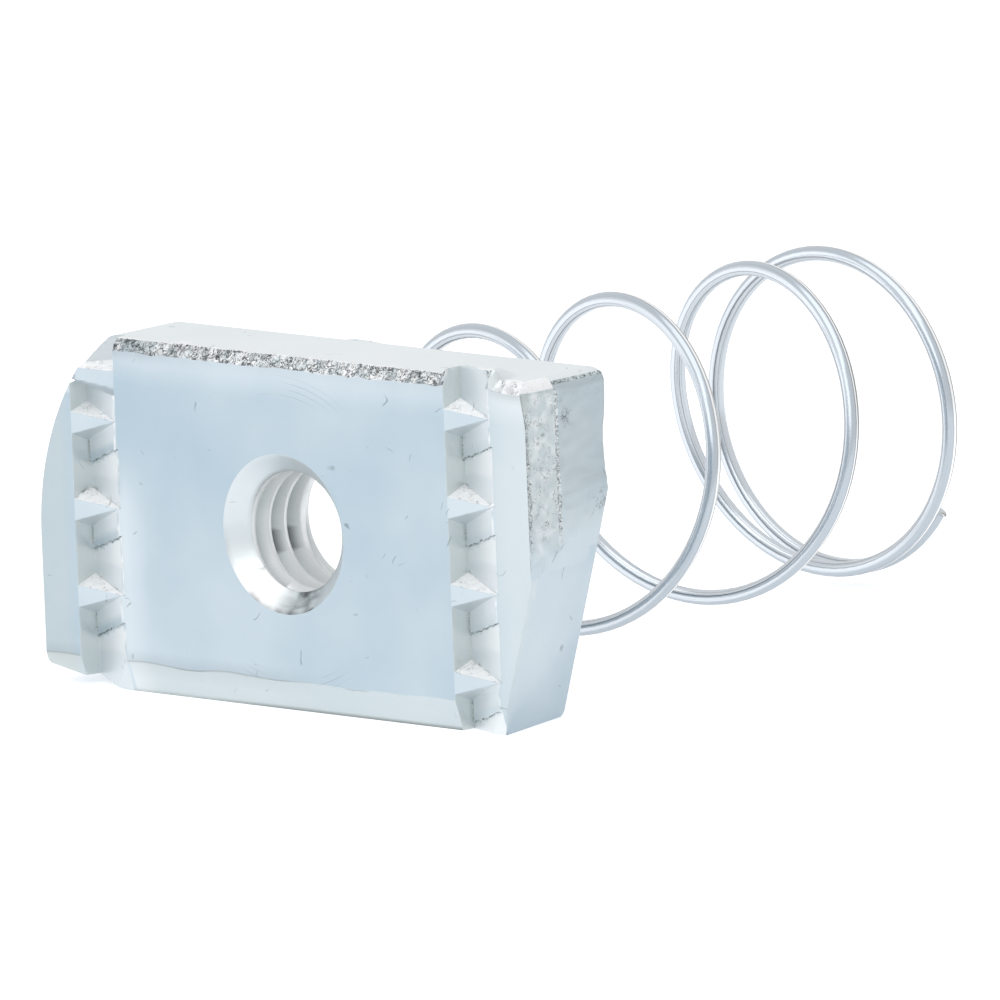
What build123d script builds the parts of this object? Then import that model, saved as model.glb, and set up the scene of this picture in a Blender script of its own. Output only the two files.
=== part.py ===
from build123d import *

import os
from math import cos, pi, radians, sin

# Strut spring nut: a toothed steel nut for slotted channel, with a wire spring held on its back.
#
# Frame, in millimetres: X runs along the nut, Y from the toothed face towards the spring and Z up
# across the nut's width. The origin is where the thread's axis meets the toothed face. The nut
# stands on one of its long edges, so the thread lies level.

# ---- Nut blank ----
nut_length = 36.0
nut_width = 19.5
nut_thickness = 6.5
back_edge_radius = 0.4

# The long edges of the toothed face: torn off flat along the top, pressed to a bevel below.
torn_edge_height = 0.65
torn_edge_depth = 0.45
pressed_edge_height = 1.7
pressed_edge_depth = 0.5

# Two corners in a diagonal are cut away, so that the nut can turn between the channel's walls.
round_corner_length = 4.85
round_corner_height = 11.25
round_corner_shoulder = 0.9
slant_corner_front = 8.45
slant_corner_back = 12.85
slant_corner_inset = 2.6
square_corner_radius = 0.9
heel_corner_length = 5.4
heel_corner_height = 1.1
heel_corner_radius = 0.3

# ---- Thread (ISO metric coarse; the helix itself is left to the finish) ----
thread_diameter = 8.0
thread_pitch = 1.25
countersink_diameter = 8.8
back_countersink_diameter = 8.3
countersink_angle = 90.0

# ---- Toothed grooves, which bite on the channel's turned-in lips ----
groove_width = 3.3
groove_depth = 1.2
groove_flank = 0.15
groove_spacing = 27.55
tooth_pitch = 4.8
right_tooth_drop = 1.85
left_tooth_drop = 4.3
tooth_land = 1.2
ledge_rise = 0.4
ledge_fall = 0.28
ceiling_fall = 0.45
step_drop = 1.5
step_fall = 1.15
lower_pocket_extra = 0.2

# The round corner takes the left groove's first tooth, and leaves a notch and a short pocket.
notch_drop = 1.8
notch_depth = 1.3
notch_reach = 4.9
short_land_left = 0.6
short_land_right = 1.05

# ---- Spring, which widens a little from its seat to its free end ----
wire_diameter = 0.85
coil_flare = 0.2
spring_free_length = 40.0
spring_turns = 5.35
spring_tip_angle = -162.0
seated_turns = 0.70
bend_turns = 0.20
closing_turns = 0.40
closed_turns = 1.00
closed_coil_gap = 0.05

# ---- Spring seat in the nut's back, with two lips staked over the seated coil ----
seat_depth = 0.45
seat_clearance = 0.075
lip_inset = 0.1
lip_thickness = 0.55
lip_overhang = 0.35
lip_arc = 22.0

# How far a cutter runs past the face that it opens through.
overcut = 1.0

# The wire's section has flats and its coils are arcs, which keep its mesh light: its corners
# stand 0.015 mm proud of round, and the arcs stray 0.03 mm from the coil.
wire_flats = 12
arcs_per_turn = 10

wire_radius = wire_diameter / 2
half_length = nut_length / 2
half_width = nut_width / 2
thread_minor_radius = thread_diameter / 2 - 5 / 8 * 3**0.5 / 2 * thread_pitch
left_groove_x = -groove_spacing / 2 - groove_width / 2
right_groove_x = groove_spacing / 2 - groove_width / 2
seat_floor_y = nut_thickness - seat_depth
seat_coil_y = seat_floor_y + wire_radius
lip_outer_radius = half_width - lip_inset
seat_outer_radius = lip_outer_radius - lip_thickness
seat_coil_radius = seat_outer_radius - seat_clearance - wire_radius
seat_inner_radius = seat_coil_radius - wire_radius - seat_clearance


def shelf_plane(height, fall=ledge_fall):
    """The shelf on top of a tooth: it falls across the groove, and rises with its depth."""
    return Plane(origin=(0, 0, height), z_dir=(fall / groove_width, -ledge_rise, 1))


def ceiling_plane(left_drop, right_drop, fall):
    """Where a pocket starts under a tooth, at two drops below the shelf, falling with depth."""
    return Plane(
        origin=(0, 0, -left_drop),
        z_dir=((left_drop - right_drop - ledge_fall) / groove_width, -fall, -1),
    )


def groove_pocket(length, ceiling=None, extra=0.0, shelf=True):
    """A stretch of V groove that hangs from Z = 0, its left edge at X = 0.

    It starts at the ceiling, or runs out upwards without one, and ends at the next shelf, or
    runs out downwards. The extra widens it, and deepens it by half as much.
    """
    with BuildPart() as pocket:
        with BuildSketch(Plane.XY.offset(-length - overcut)):
            with BuildLine():
                Polyline(
                    (0, -overcut),
                    (0, 0),
                    (groove_flank, groove_depth + extra / 2),
                    (groove_width + extra, 0),
                    (groove_width + extra, -overcut),
                    close=True,
                )
            make_face()
        extrude(amount=length + 2 * overcut)
        if ceiling:
            split(bisect_by=ceiling, keep=Keep.TOP)
        if shelf:
            split(bisect_by=shelf_plane(-length), keep=Keep.TOP)
    return pocket.part


def tooth_heights(first_drop):
    """Heights of a groove's shelves from the top down, the last at least half a pitch up."""
    count = round((nut_width - first_drop) / tooth_pitch)
    return [half_width - first_drop - i * tooth_pitch for i in range(count)]


# ---- Cutters for the grooves, each hanging from the shelf above it ----
# A tooth keeps a wedge of the face under its shelf and is hollowed from that wedge downwards; at
# a small step the hollow grows wider and deeper.
land_ceiling = ceiling_plane(tooth_land, 0, ceiling_fall)
step_ceiling = ceiling_plane(step_drop, step_drop, step_fall)
run_out = 1.5 * tooth_pitch

upper_pocket = groove_pocket(tooth_pitch, land_ceiling)
lower_pocket = groove_pocket(tooth_pitch, step_ceiling, lower_pocket_extra)
last_upper_pocket = groove_pocket(run_out, land_ceiling, shelf=False)
last_lower_pocket = groove_pocket(run_out, step_ceiling, lower_pocket_extra, shelf=False)
right_top_pocket = groove_pocket(right_tooth_drop)

# The round corner leaves the left groove a notch, deepest beside the face, and a short pocket
# under it that ends at the groove's first whole tooth.
with BuildPart() as corner_notch:
    with BuildSketch(Plane.XY.offset(-notch_drop)):
        with BuildLine():
            Polyline(
                (groove_width - notch_reach, -overcut),
                (groove_width - notch_reach, 0),
                (groove_width - groove_flank, notch_depth),
                (groove_width, 0),
                (groove_width, -overcut),
                close=True,
            )
        make_face()
    extrude(amount=notch_drop + overcut)
    split(bisect_by=shelf_plane(-notch_drop, fall=0), keep=Keep.TOP)

short_pocket = groove_pocket(
    left_tooth_drop - notch_drop, ceiling_plane(short_land_left, short_land_right, ceiling_fall)
)

left_teeth = tooth_heights(left_tooth_drop)
right_teeth = tooth_heights(right_tooth_drop)

# A lip is raised from the seat's outer wall and folded over the seated coil.
with BuildPart() as staked_lip:
    with BuildSketch(Plane.YZ):
        with BuildLine():
            fold_y = seat_coil_y + wire_radius + seat_clearance
            lip_tip = (fold_y, seat_outer_radius - lip_overhang)
            lip_shoulder = (fold_y, lip_outer_radius)
            Polyline(
                lip_tip,
                (fold_y, seat_outer_radius),
                (seat_floor_y, seat_outer_radius),
                (seat_floor_y, lip_outer_radius),
                lip_shoulder,
            )
            TangentArc(lip_shoulder, lip_tip, tangent=(1, 0))
        make_face()
    revolve(axis=Axis.Y, revolution_arc=lip_arc)

# ---- Nut body ----
with BuildPart() as nut_body:
    # The outline seen from the toothed face, then the section along the nut for its long edges.
    with BuildSketch(Plane.XZ) as outline:
        with BuildLine():
            round_corner_foot = (-half_length, half_width - round_corner_height)
            round_corner_top = (-half_length + round_corner_length, half_width)
            TangentArc(round_corner_foot, round_corner_top, tangent=(0, 1))
            Polyline(
                round_corner_top,
                (half_length, half_width),
                (half_length, -half_width),
                (-half_length + heel_corner_length, -half_width),
                (-half_length, -half_width + heel_corner_height),
                round_corner_foot,
            )
        make_face()
        fillet(outline.vertices().group_by(Axis.Y)[-1].sort_by(Axis.X)[0], round_corner_shoulder)
        fillet(outline.vertices().group_by(Axis.Y)[-1].sort_by(Axis.X)[-1], square_corner_radius)
        fillet(outline.vertices().group_by(Axis.X)[0].sort_by(Axis.Y)[0], heel_corner_radius)
    extrude(amount=-nut_thickness)

    with BuildSketch(Plane.YZ.offset(-half_length)) as section:
        with BuildLine():
            Polyline(
                (0, -half_width + pressed_edge_height),
                (pressed_edge_depth, -half_width),
                (nut_thickness, -half_width),
                (nut_thickness, half_width),
                (torn_edge_depth, half_width),
                (0, half_width - torn_edge_height),
                close=True,
            )
        make_face()
        fillet(section.vertices().group_by(Axis.X)[-1], back_edge_radius)
    extrude(amount=nut_length, mode=Mode.INTERSECT)

    # The slanted corner is cut deeper at the back than at the toothed face.
    slant_corner_foot = Vector(half_length, 0, -half_width + slant_corner_front)
    along_face = Vector(-slant_corner_inset, 0, -slant_corner_front)
    through_nut = Vector(0, nut_thickness, slant_corner_back - slant_corner_front)
    split(
        bisect_by=Plane(origin=slant_corner_foot, z_dir=along_face.cross(through_nut)),
        keep=Keep.BOTTOM,
    )

    with Locations(Plane.XZ):
        CounterSinkHole(
            radius=thread_minor_radius,
            counter_sink_radius=countersink_diameter / 2,
            counter_sink_angle=countersink_angle,
        )
    with Locations(Plane(origin=(0, nut_thickness, 0), z_dir=(0, 1, 0))):
        CounterSinkHole(
            radius=thread_minor_radius,
            counter_sink_radius=back_countersink_diameter / 2,
            counter_sink_angle=countersink_angle,
        )

    with BuildSketch(Plane.XZ.offset(-nut_thickness)):
        Circle(seat_outer_radius)
        Circle(seat_inner_radius, mode=Mode.SUBTRACT)
    extrude(amount=seat_depth, mode=Mode.SUBTRACT)

    for teeth, groove_x in ((left_teeth, left_groove_x), (right_teeth, right_groove_x)):
        with Locations(*((groove_x, 0, height) for height in teeth[:-1])):
            add(upper_pocket, mode=Mode.SUBTRACT)
            add(lower_pocket, mode=Mode.SUBTRACT)
        with Locations((groove_x, 0, teeth[-1])):
            add(last_upper_pocket, mode=Mode.SUBTRACT)
            add(last_lower_pocket, mode=Mode.SUBTRACT)
    with Locations((right_groove_x, 0, half_width)):
        add(right_top_pocket, mode=Mode.SUBTRACT)
    with Locations((left_groove_x, 0, half_width)):
        add(corner_notch.part, mode=Mode.SUBTRACT)
    with Locations((left_groove_x, 0, half_width - notch_drop)):
        add(short_pocket, mode=Mode.SUBTRACT)

    for lip_middle in (0, 180):
        add(staked_lip.part, rotation=(0, lip_middle - lip_arc / 2, 0))

nut_body.part.label = "nut_body"

# ---- Spring ----
# Pitch of the coil against turns from the seated tip: flat in its seat, open, then closed.
closed_pitch = wire_diameter + closed_coil_gap
open_start = seated_turns + bend_turns
open_end = spring_turns - closed_turns - closing_turns
open_turns = open_end - open_start + (bend_turns + closing_turns) / 2
closed_climb = closed_pitch * (closed_turns + closing_turns / 2)
open_pitch = (spring_free_length - wire_diameter - closed_climb) / open_turns
pitch_stages = (
    (seated_turns, 0, 0),
    (bend_turns, 0, open_pitch),
    (open_end - open_start, open_pitch, open_pitch),
    (closing_turns, open_pitch, closed_pitch),
    (closed_turns, closed_pitch, closed_pitch),
)

tip_angle = radians(spring_tip_angle)


def coil_climb(turns):
    """How far the wire has climbed from its seat: the area under the pitch so far."""
    climb = 0.0
    for length, first_pitch, last_pitch in pitch_stages:
        done = min(turns, length)
        climb += done * (first_pitch + (last_pitch - first_pitch) * done / length / 2)
        turns -= done
    return climb


def coil_point(turns):
    """Centre of the wire, wound left-handed and a little wider towards the free end."""
    angle = tip_angle + 2 * pi * turns
    widened = coil_climb(turns) / coil_climb(spring_turns)
    radius = seat_coil_radius + coil_flare * widened
    return (radius * cos(angle), seat_coil_y + coil_climb(turns), radius * sin(angle))


arc_count = round(spring_turns * arcs_per_turn)
with BuildPart() as spring:
    with BuildLine() as wire_path:
        heading = Vector(-sin(tip_angle), 0, cos(tip_angle))
        for i in range(arc_count):
            arc_start = coil_point(spring_turns * i / arc_count)
            arc_end = coil_point(spring_turns * (i + 1) / arc_count)
            heading = TangentArc(arc_start, arc_end, tangent=heading) % 1
    with BuildSketch(Plane(origin=wire_path.line @ 0, x_dir=(0, 1, 0), z_dir=wire_path.line % 0)):
        RegularPolygon(wire_radius, wire_flats, major_radius=False, rotation=180 / wire_flats)
    sweep(path=wire_path.line)
spring.part.label = "spring"

os.makedirs("parts", exist_ok=True)
for piece in (nut_body, spring):
    export_step(piece.part, f"parts/{piece.part.label}.step")
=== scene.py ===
"""Looks of the strut spring nut.

A zinc plated channel nut with two rows of teeth pressed into its face, a threaded hole and two cut
corners, and a coil spring of zinc plated wire that is held on the nut's back.

The frame's X runs along the nut, Y from the toothed face towards the spring, and Z up across the
nut's width. The frame's origin is where the thread's axis meets the toothed face.
"""

from __future__ import annotations

import logging
import math
from collections.abc import Callable
from dataclasses import dataclass
from enum import Enum

import bmesh
import bpy
from mathutils import Matrix, Vector, noise

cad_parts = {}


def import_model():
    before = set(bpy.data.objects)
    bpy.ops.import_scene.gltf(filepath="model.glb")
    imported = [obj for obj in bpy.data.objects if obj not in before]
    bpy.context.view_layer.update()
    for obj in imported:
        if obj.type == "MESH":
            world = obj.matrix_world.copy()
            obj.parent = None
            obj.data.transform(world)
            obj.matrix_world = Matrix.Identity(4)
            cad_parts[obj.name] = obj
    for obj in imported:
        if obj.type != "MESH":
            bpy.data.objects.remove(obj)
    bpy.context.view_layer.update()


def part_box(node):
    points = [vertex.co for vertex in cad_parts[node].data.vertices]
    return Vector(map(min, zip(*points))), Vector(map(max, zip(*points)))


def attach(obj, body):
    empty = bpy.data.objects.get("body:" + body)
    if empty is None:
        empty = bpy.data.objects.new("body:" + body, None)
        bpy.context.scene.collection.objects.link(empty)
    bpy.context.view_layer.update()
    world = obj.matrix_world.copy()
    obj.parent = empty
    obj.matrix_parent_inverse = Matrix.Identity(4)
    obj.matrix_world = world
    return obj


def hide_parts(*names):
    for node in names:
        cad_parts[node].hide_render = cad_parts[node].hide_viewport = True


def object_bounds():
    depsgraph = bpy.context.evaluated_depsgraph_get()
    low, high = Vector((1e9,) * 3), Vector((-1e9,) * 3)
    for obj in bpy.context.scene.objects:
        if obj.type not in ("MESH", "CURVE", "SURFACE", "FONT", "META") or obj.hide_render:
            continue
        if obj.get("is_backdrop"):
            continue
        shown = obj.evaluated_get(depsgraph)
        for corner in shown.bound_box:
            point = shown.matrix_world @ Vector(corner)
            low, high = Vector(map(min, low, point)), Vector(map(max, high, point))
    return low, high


log = logging.getLogger("strut_spring_nut")

MM = 0.001
ROOT_BODY = "root"

Colour = tuple[float, float, float]
Shares = tuple[float, float, float, float]
Stage = tuple[float, float, float]
Piece = bpy.types.Object
Socket = bpy.types.NodeSocket
Choice = Callable[[Vector, Vector], bool]

BLACK: Colour = (0.0, 0.0, 0.0)
WHITE: Colour = (1.0, 1.0, 1.0)


# ---------------------------------------------------------------------------------------------
# Helpers for modelling
# ---------------------------------------------------------------------------------------------


def deselect_all() -> None:
    """Leaves object mode with nothing selected."""
    if bpy.context.object and bpy.context.object.mode != "OBJECT":
        bpy.ops.object.mode_set(mode="OBJECT")
    for item in bpy.context.selected_objects:
        item.select_set(False)


def make_active(piece: Piece) -> None:
    """Selects one piece alone and makes it the active one.

    Args:
        piece: The object that the next operators act on.
    """
    deselect_all()
    piece.select_set(True)
    bpy.context.view_layer.objects.active = piece


def apply_modifier(piece: Piece, kind: str, **settings: object) -> None:
    """Adds a modifier to a piece and applies it.

    Args:
        piece: The object to change.
        kind: The modifier's type, such as BEVEL.
        **settings: Values for the modifier's properties.
    """
    make_active(piece)
    modifier = piece.modifiers.new(kind.lower(), kind)
    for name, value in settings.items():
        setattr(modifier, name, value)
    bpy.ops.object.modifier_apply(modifier=modifier.name)


def select_faces(piece: Piece, chosen: Choice) -> int:
    """Selects the faces of a piece in edit mode that a test picks.

    Args:
        piece: The object, already in edit mode.
        chosen: A test of a face's middle and normal.

    Returns:
        How many faces it picked.
    """
    shape = bmesh.from_edit_mesh(piece.data)
    bpy.ops.mesh.select_all(action="DESELECT")
    count = 0
    for face in shape.faces:
        if chosen(face.calc_center_median(), face.normal):
            face.select_set(True)
            count += 1
    bmesh.update_edit_mesh(piece.data)
    return count


def slice_evenly(
    piece: Piece,
    axis: Vector,
    first: float,
    last: float,
    spacing: float,
    chosen: Choice,
) -> None:
    """Cuts chosen faces by evenly spaced planes, which leaves the shape as it is.

    Args:
        piece: The object to cut.
        axis: The direction that the planes face.
        first: Where the cuts start along the axis.
        last: Where they end.
        spacing: The distance between two planes.
        chosen: A test of a face's middle and normal that picks the faces to cut.
    """
    make_active(piece)
    bpy.ops.object.mode_set(mode="EDIT")
    bpy.ops.mesh.select_mode(type="FACE")
    if select_faces(piece, chosen):
        bpy.ops.mesh.hide(unselected=True)
        cuts = max(1, round((last - first) / spacing))
        for step in range(1, cuts):
            place = first + (last - first) * step / cuts
            bpy.ops.mesh.select_all(action="SELECT")
            bpy.ops.mesh.bisect(plane_co=axis * place, plane_no=axis, threshold=1e-7)
        bpy.ops.mesh.reveal(select=False)
    bpy.ops.object.mode_set(mode="OBJECT")


def reshape(piece: Piece, move: Callable[[Vector, Vector], Vector]) -> None:
    """Moves each vertex of a piece by what a rule gives for its place and normal.

    Args:
        piece: The object to shape.
        move: The rule.
    """
    vertices = piece.data.vertices
    moves = [move(vertex.co.copy(), vertex.normal.copy()) for vertex in vertices]
    for vertex, step in zip(vertices, moves):
        vertex.co += step
    piece.data.update()


def grey(level: float) -> Colour:
    """A colour without a tint."""
    return level, level, level


def smooth_step(low: float, high: float, value: float) -> float:
    """A soft ramp from 0 at low to 1 at high."""
    share = min(1.0, max(0.0, (value - low) / (high - low)))
    return share * share * (3.0 - 2.0 * share)


# ---------------------------------------------------------------------------------------------
# Finishes
# ---------------------------------------------------------------------------------------------


class NodeTree:
    """A short way to write the nodes of a material or of the world."""

    def __init__(self, owner: bpy.types.Material | bpy.types.World) -> None:
        """Starts an empty tree.

        Args:
            owner: The material or the world that the nodes belong to.
        """
        self.owner = owner
        self.owner.use_nodes = True
        self.nodes = self.owner.node_tree.nodes
        self.links = self.owner.node_tree.links
        self.nodes.clear()

    def add(
        self, kind: str, inputs: dict[str | int, object] | None = None, **fields: object
    ) -> bpy.types.Node:
        """Adds a node.

        Args:
            kind: The node's type.
            inputs: For each input, a value or the output socket that feeds it.
            **fields: Values for the node's own properties.

        Returns:
            The new node.
        """
        node = self.nodes.new(kind)
        for name, value in fields.items():
            setattr(node, name, value)
        for name, value in (inputs or {}).items():
            socket = node.inputs[name]
            if isinstance(value, Socket):
                self.links.new(value, socket)
            else:
                socket.default_value = value
        return node

    def noise(self, where: Socket, scale: float, detail: float, rough: float = 0.5) -> Socket:
        """A noise pattern's value, as a socket.

        Args:
            where: The place that the pattern reads.
            scale: How fine the pattern is.
            detail: How many finer layers it has.
            rough: How strong the finer layers are.

        Returns:
            The value, from 0 to 1.
        """
        made = self.add(
            "ShaderNodeTexNoise",
            {"Vector": where, "Scale": scale, "Detail": detail, "Roughness": rough},
        )
        return made.outputs["Fac"]

    def ramp(self, value: Socket, stops: list[tuple[float, Colour]]) -> Socket:
        """A colour ramp over a value, as a socket.

        Args:
            value: What the ramp reads.
            stops: Each stop's place and colour, in order.

        Returns:
            The ramp's colour socket.
        """
        node = self.add("ShaderNodeValToRGB", {"Fac": value})
        elements = node.color_ramp.elements
        while len(elements) < len(stops):
            elements.new(0.5)
        for element, (place, colour) in zip(elements, stops):
            element.position = place
            element.color = (*colour, 1.0)
        return node.outputs["Color"]

    def mix(self, share: Socket, first: Colour | Socket, second: Colour | Socket) -> Socket:
        """Two colours mixed, as a socket.

        Args:
            share: How much of the second colour shows.
            first: The first colour.
            second: The second colour.

        Returns:
            The mixed colour's socket.
        """
        node = self.add("ShaderNodeMix", data_type="RGBA", blend_type="MIX")
        for place, value in ((0, share), (6, first), (7, second)):
            if isinstance(value, Socket):
                self.links.new(value, node.inputs[place])
            else:
                node.inputs[place].default_value = (*value, 1.0)
        return node.outputs[2]

    def math(
        self,
        operation: str,
        first: float | Socket,
        second: float | Socket = 0.0,
        third: float | Socket = 0.0,
    ) -> Socket:
        """A sum of up to three values or sockets, as a socket.

        Args:
            operation: The kind of sum, such as MULTIPLY.
            first: The first value.
            second: The second value.
            third: The third value.

        Returns:
            The result.
        """
        node = self.add("ShaderNodeMath", {0: first, 1: second, 2: third}, operation=operation)
        return node.outputs[0]

    def thin_line(self, distance: Socket, width: Socket) -> Socket:
        """A line where a distance is near 0, fading out at its width, as a socket.

        Args:
            distance: The distance.
            width: Where the line has faded out.

        Returns:
            The line's share.
        """
        return self.add(
            "ShaderNodeMapRange",
            {"Value": distance, "From Min": 0.0, "From Max": width, "To Min": 1.0, "To Max": 0.0},
            interpolation_type="SMOOTHSTEP",
        ).outputs[0]

    def folds(self, pattern: Socket, count: float) -> Socket:
        """How far a place is from a pattern's contour lines, as a socket.

        Args:
            pattern: The pattern's value, from 0 to 1.
            count: How many contour lines it gets.

        Returns:
            The distance, from 0 on a line to 0.5.
        """
        layers = self.math("MULTIPLY", pattern, count)
        return self.math("ABSOLUTE", self.math("SUBTRACT", self.math("FRACT", layers), 0.5))

    def seen(self) -> Socket:
        """Whether a ray comes from the camera, a reflection or a clear piece, as a socket.

        Returns:
            The share of 1 for such a ray.
        """
        rays = self.add("ShaderNodeLightPath").outputs
        seen = self.math("MAXIMUM", rays["Is Camera Ray"], rays["Is Glossy Ray"])
        return self.math("MAXIMUM", seen, rays["Is Transmission Ray"])


@dataclass(frozen=True)
class ZincPlate:
    """Bright zinc on pressed steel: pale blue-grey, cloudy, frosted and cracked where torn, with
    painted highlights, painted shade and painted dark reflections mixed in by zone.
    """

    name: str = "zinc_plate"
    colour: Colour = (0.45, 0.56, 0.64)
    cloud_colour: Colour = (0.56, 0.65, 0.71)
    # The frost colour is frosted metal and also painted highlight and glare; the dull colour is
    # dull metal and also painted shade and dark reflection.
    frost_and_highlight_colour: Colour = (0.97, 0.97, 0.97)
    dull_and_shade_colour: Colour = (0.60, 0.66, 0.66)
    # The dark colour is mostly painted shade and painted dark reflection.
    dark_colour: Colour = (0.13, 0.14, 0.15)
    crack_colour: Colour = (0.05, 0.06, 0.065)
    metallic: float = 0.5
    frosted_metallic: float = 0.75
    chalky_metallic: float = 0.05
    roughness: float = 0.32
    bump_depth: float = 0.06 * MM
    cloud_scale: float = 95.0
    grain_scale: float = 9000.0
    crack_scale: float = 1300.0
    fold_scale: float = 800.0
    cell_scale: float = 2900.0
    dot_scale: float = 6500.0
    tick_scale: float = 260.0
    ring_rate: float = 9.0
    crack_waver: float = 0.3 * MM

    def build(self) -> bpy.types.Material:
        """Builds the material.

        Returns:
            The material.
        """
        tree = NodeTree(bpy.data.materials.new(self.name))
        where = tree.add("ShaderNodeTexCoord").outputs["Object"]
        # The wear attribute holds frost, cracks and dullness, where frost is also painted highlight
        # and glare and dullness also painted shade; the darkness attribute is mostly painted shade
        # and painted dark reflection.
        wear = tree.add("ShaderNodeAttribute", attribute_name="wear").outputs["Vector"]
        frost, cracks, dull = tree.add("ShaderNodeSeparateXYZ", {0: wear}).outputs
        dark = tree.add("ShaderNodeAttribute", attribute_name="darkness").outputs["Fac"]
        cloud = tree.ramp(
            tree.noise(where, self.cloud_scale, 3.0), [(0.35, BLACK), (0.65, WHITE)]
        )
        shade = tree.mix(cloud, self.colour, self.cloud_colour)
        shade = tree.mix(dull, shade, self.dull_and_shade_colour)
        shade = tree.mix(frost, shade, self.frost_and_highlight_colour)
        # This mix lays the painted shade and painted dark reflection over the colour.
        shade = tree.mix(dark, shade, self.dark_colour)
        crackle = self.crackle(tree, where, cracks)
        marks = tree.math("MAXIMUM", self.ticks(tree, where), self.rings(tree, where))
        shade = tree.mix(tree.math("MAXIMUM", crackle, marks), shade, self.crack_colour)
        grain = tree.math("MULTIPLY", tree.noise(where, self.grain_scale, 3.0), 0.25)
        height = tree.math("MULTIPLY_ADD", crackle, -1.5, grain)
        bump = tree.add(
            "ShaderNodeBump", {"Strength": 0.35, "Distance": self.bump_depth, "Height": height}
        )
        bare, bright = grey(self.metallic), grey(self.frosted_metallic)
        chalky = grey(self.chalky_metallic)
        sheen = tree.ramp(frost, [(0.0, bare), (0.85, bright), (0.99, chalky)])
        shader = tree.add(
            "ShaderNodeBsdfPrincipled",
            {
                "Base Color": shade,
                "Metallic": sheen,
                "Roughness": tree.math("MULTIPLY_ADD", frost, 0.1, self.roughness),
                "Normal": bump.outputs["Normal"],
            },
        )
        tree.add("ShaderNodeOutputMaterial", {"Surface": shader.outputs["BSDF"]})
        return tree.owner

    def crackle(self, tree: NodeTree, where: Socket, cracks: Socket) -> Socket:
        """The dark network of cracks in torn plate, as a socket.

        Args:
            tree: The material's nodes.
            where: The place on the piece.
            cracks: How cracked the place is, from 0 to 1.

        Returns:
            The share of the crack's colour.
        """
        stray = tree.add("ShaderNodeTexNoise", {"Vector": where, "Scale": 2600.0, "Detail": 3.0})
        bent = tree.add(
            "ShaderNodeVectorMath",
            {0: stray.outputs["Color"], 1: grey(self.crack_waver), 2: where},
            operation="MULTIPLY_ADD",
        ).outputs[0]
        torn = tree.ramp(cracks, [(0.50, BLACK), (0.85, WHITE)])
        folds = 0.0
        for scale, lines, share in ((self.crack_scale, 9.0, 1.0), (self.fold_scale, 5.5, torn)):
            fold = tree.folds(tree.noise(bent, scale, 4.0, 0.62), lines)
            line = tree.thin_line(fold, tree.math("MULTIPLY_ADD", cracks, 0.16, 0.03))
            folds = tree.math("MAXIMUM", folds, tree.math("MULTIPLY", line, share))
        edge = tree.add(
            "ShaderNodeTexVoronoi",
            {"Vector": bent, "Scale": self.cell_scale},
            feature="DISTANCE_TO_EDGE",
        ).outputs["Distance"]
        cells = tree.thin_line(edge, tree.math("MULTIPLY_ADD", cracks, 0.14, 0.03))
        here = tree.noise(where, 1900.0, 2.0)
        here = tree.math("ADD", here, tree.math("MULTIPLY_ADD", cracks, 0.24, -0.15))
        fold_share = tree.ramp(here, [(0.42, BLACK), (0.56, WHITE)])
        cell_share = tree.ramp(here, [(0.44, WHITE), (0.58, BLACK)])
        cell_share = tree.math("MULTIPLY", cell_share, torn)
        dots = tree.noise(where, self.dot_scale, 1.0)
        dots = tree.ramp(dots, [(0.62, BLACK), (0.70, grey(0.8))])
        both = tree.math(
            "MAXIMUM",
            tree.math("MULTIPLY", folds, fold_share),
            tree.math("MULTIPLY", cells, cell_share),
        )
        strength = tree.ramp(cracks, [(0.0, BLACK), (0.55, WHITE)])
        dots = tree.math("MULTIPLY", dots, torn)
        return tree.math("MULTIPLY", tree.math("MAXIMUM", both, dots), strength)

    def rings(self, tree: NodeTree, where: Socket) -> Socket:
        """Faint arcs round the hole, near the toothed face's long edges, as a socket.

        Args:
            tree: The material's nodes.
            where: The place on the piece.

        Returns:
            The share of the crack's colour.
        """
        flat = tree.add(
            "ShaderNodeVectorMath", {0: where, 1: (1000.0, 0.0, 1000.0)}, operation="MULTIPLY"
        ).outputs[0]
        radius = tree.add("ShaderNodeVectorMath", {0: flat}, operation="LENGTH").outputs["Value"]
        parts = tree.add("ShaderNodeSeparateXYZ", {0: where}).outputs
        wave = tree.math("SINE", tree.math("MULTIPLY", radius, self.ring_rate))
        wave = tree.math("ABSOLUTE", wave)
        line = tree.ramp(wave, [(0.02, WHITE), (0.16, BLACK)])
        band = tree.ramp(
            tree.math("MULTIPLY", radius, 0.1),
            [(0.735, BLACK), (0.76, WHITE), (0.86, WHITE), (0.885, BLACK)],
        )
        height = tree.math("MULTIPLY", tree.math("ABSOLUTE", parts["Z"]), 100.0)
        sector = tree.ramp(height, [(0.70, BLACK), (0.76, grey(0.45))])
        front = tree.math("LESS_THAN", parts["Y"], 0.00003)
        some = tree.ramp(tree.noise(where, 330.0, 1.0), [(0.44, BLACK), (0.56, WHITE)])
        share = tree.math("MULTIPLY", tree.math("MULTIPLY", line, band), sector)
        return tree.math("MULTIPLY", tree.math("MULTIPLY", share, some), front)

    def ticks(self, tree: NodeTree, where: Socket) -> Socket:
        """Sparse short scratches, as a socket.

        Args:
            tree: The material's nodes.
            where: The place on the piece.

        Returns:
            The share of the crack's colour.
        """
        fold = tree.folds(tree.noise(where, self.tick_scale, 2.0), 9.0)
        line = tree.ramp(fold, [(0.02, WHITE), (0.06, BLACK)])
        rare = tree.ramp(tree.noise(where, 700.0, 1.0), [(0.66, BLACK), (0.72, grey(0.45))])
        return tree.math("MULTIPLY", line, rare)


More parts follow.
